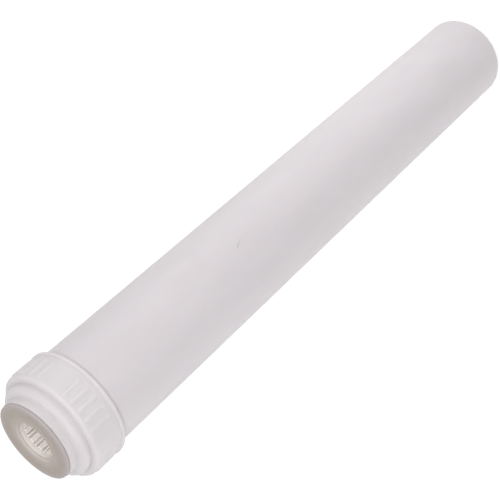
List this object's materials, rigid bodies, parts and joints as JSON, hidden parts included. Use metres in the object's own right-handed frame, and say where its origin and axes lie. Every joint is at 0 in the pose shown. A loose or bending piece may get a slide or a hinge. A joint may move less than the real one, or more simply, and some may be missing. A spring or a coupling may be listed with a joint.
{
  "type": "refillable water filter cartridge",
  "caption": "Refillable water filter cartridge: long plain tube, ribbed screw cap with a slotted strainer, soft ring gaskets on both ends, felt pads inside, and a base with inlet windows.",
  "frame": {"origin": "centre of the lower gasket's outer face, on which the cartridge stands", "axes": "+Z along the cartridge's axis towards the screw cap; X and Y across it, with -Y towards the camera of the picture"},
  "size_m": [0.0746, 0.0746, 0.508],
  "materials": {
    "tube_plastic": "satin white extruded polypropylene",
    "cap_plastic": "satin white moulded polypropylene",
    "gasket_foam": "matt grey-beige soft closed-cell gasket",
    "seal_rubber": "matt black rubber",
    "felt": "off-white needled felt"
  },
  "bodies": {
    "housing": {"body_tube": "tube_plastic", "base_plug": "cap_plastic", "base_socket": "cap_plastic", "bottom_gasket": "gasket_foam", "lower_felt_pad": "felt", "upper_felt_pad": "felt"},
    "seal": {"cap_seal_ring": "seal_rubber"},
    "cap": {"screw_cap": "cap_plastic", "strainer_basket": "cap_plastic", "cap_gasket": "gasket_foam"}
  },
  "joints": [
    {"name": "cap_rise", "type": "slide", "parent": "housing", "child": "seal", "axis": [0, 0, 1], "range_m": [0, 0.024]},
    {"name": "cap_turn", "type": "hinge", "parent": "seal", "child": "cap", "pos_m": [0, 0, 0.492], "axis": [0, 0, 1], "range_deg": [0, 1080]}
  ],
  "couplings": [
    {"joint": "cap_rise", "follows": "cap_turn", "m_per_rad": 0.0012732}
  ]
}
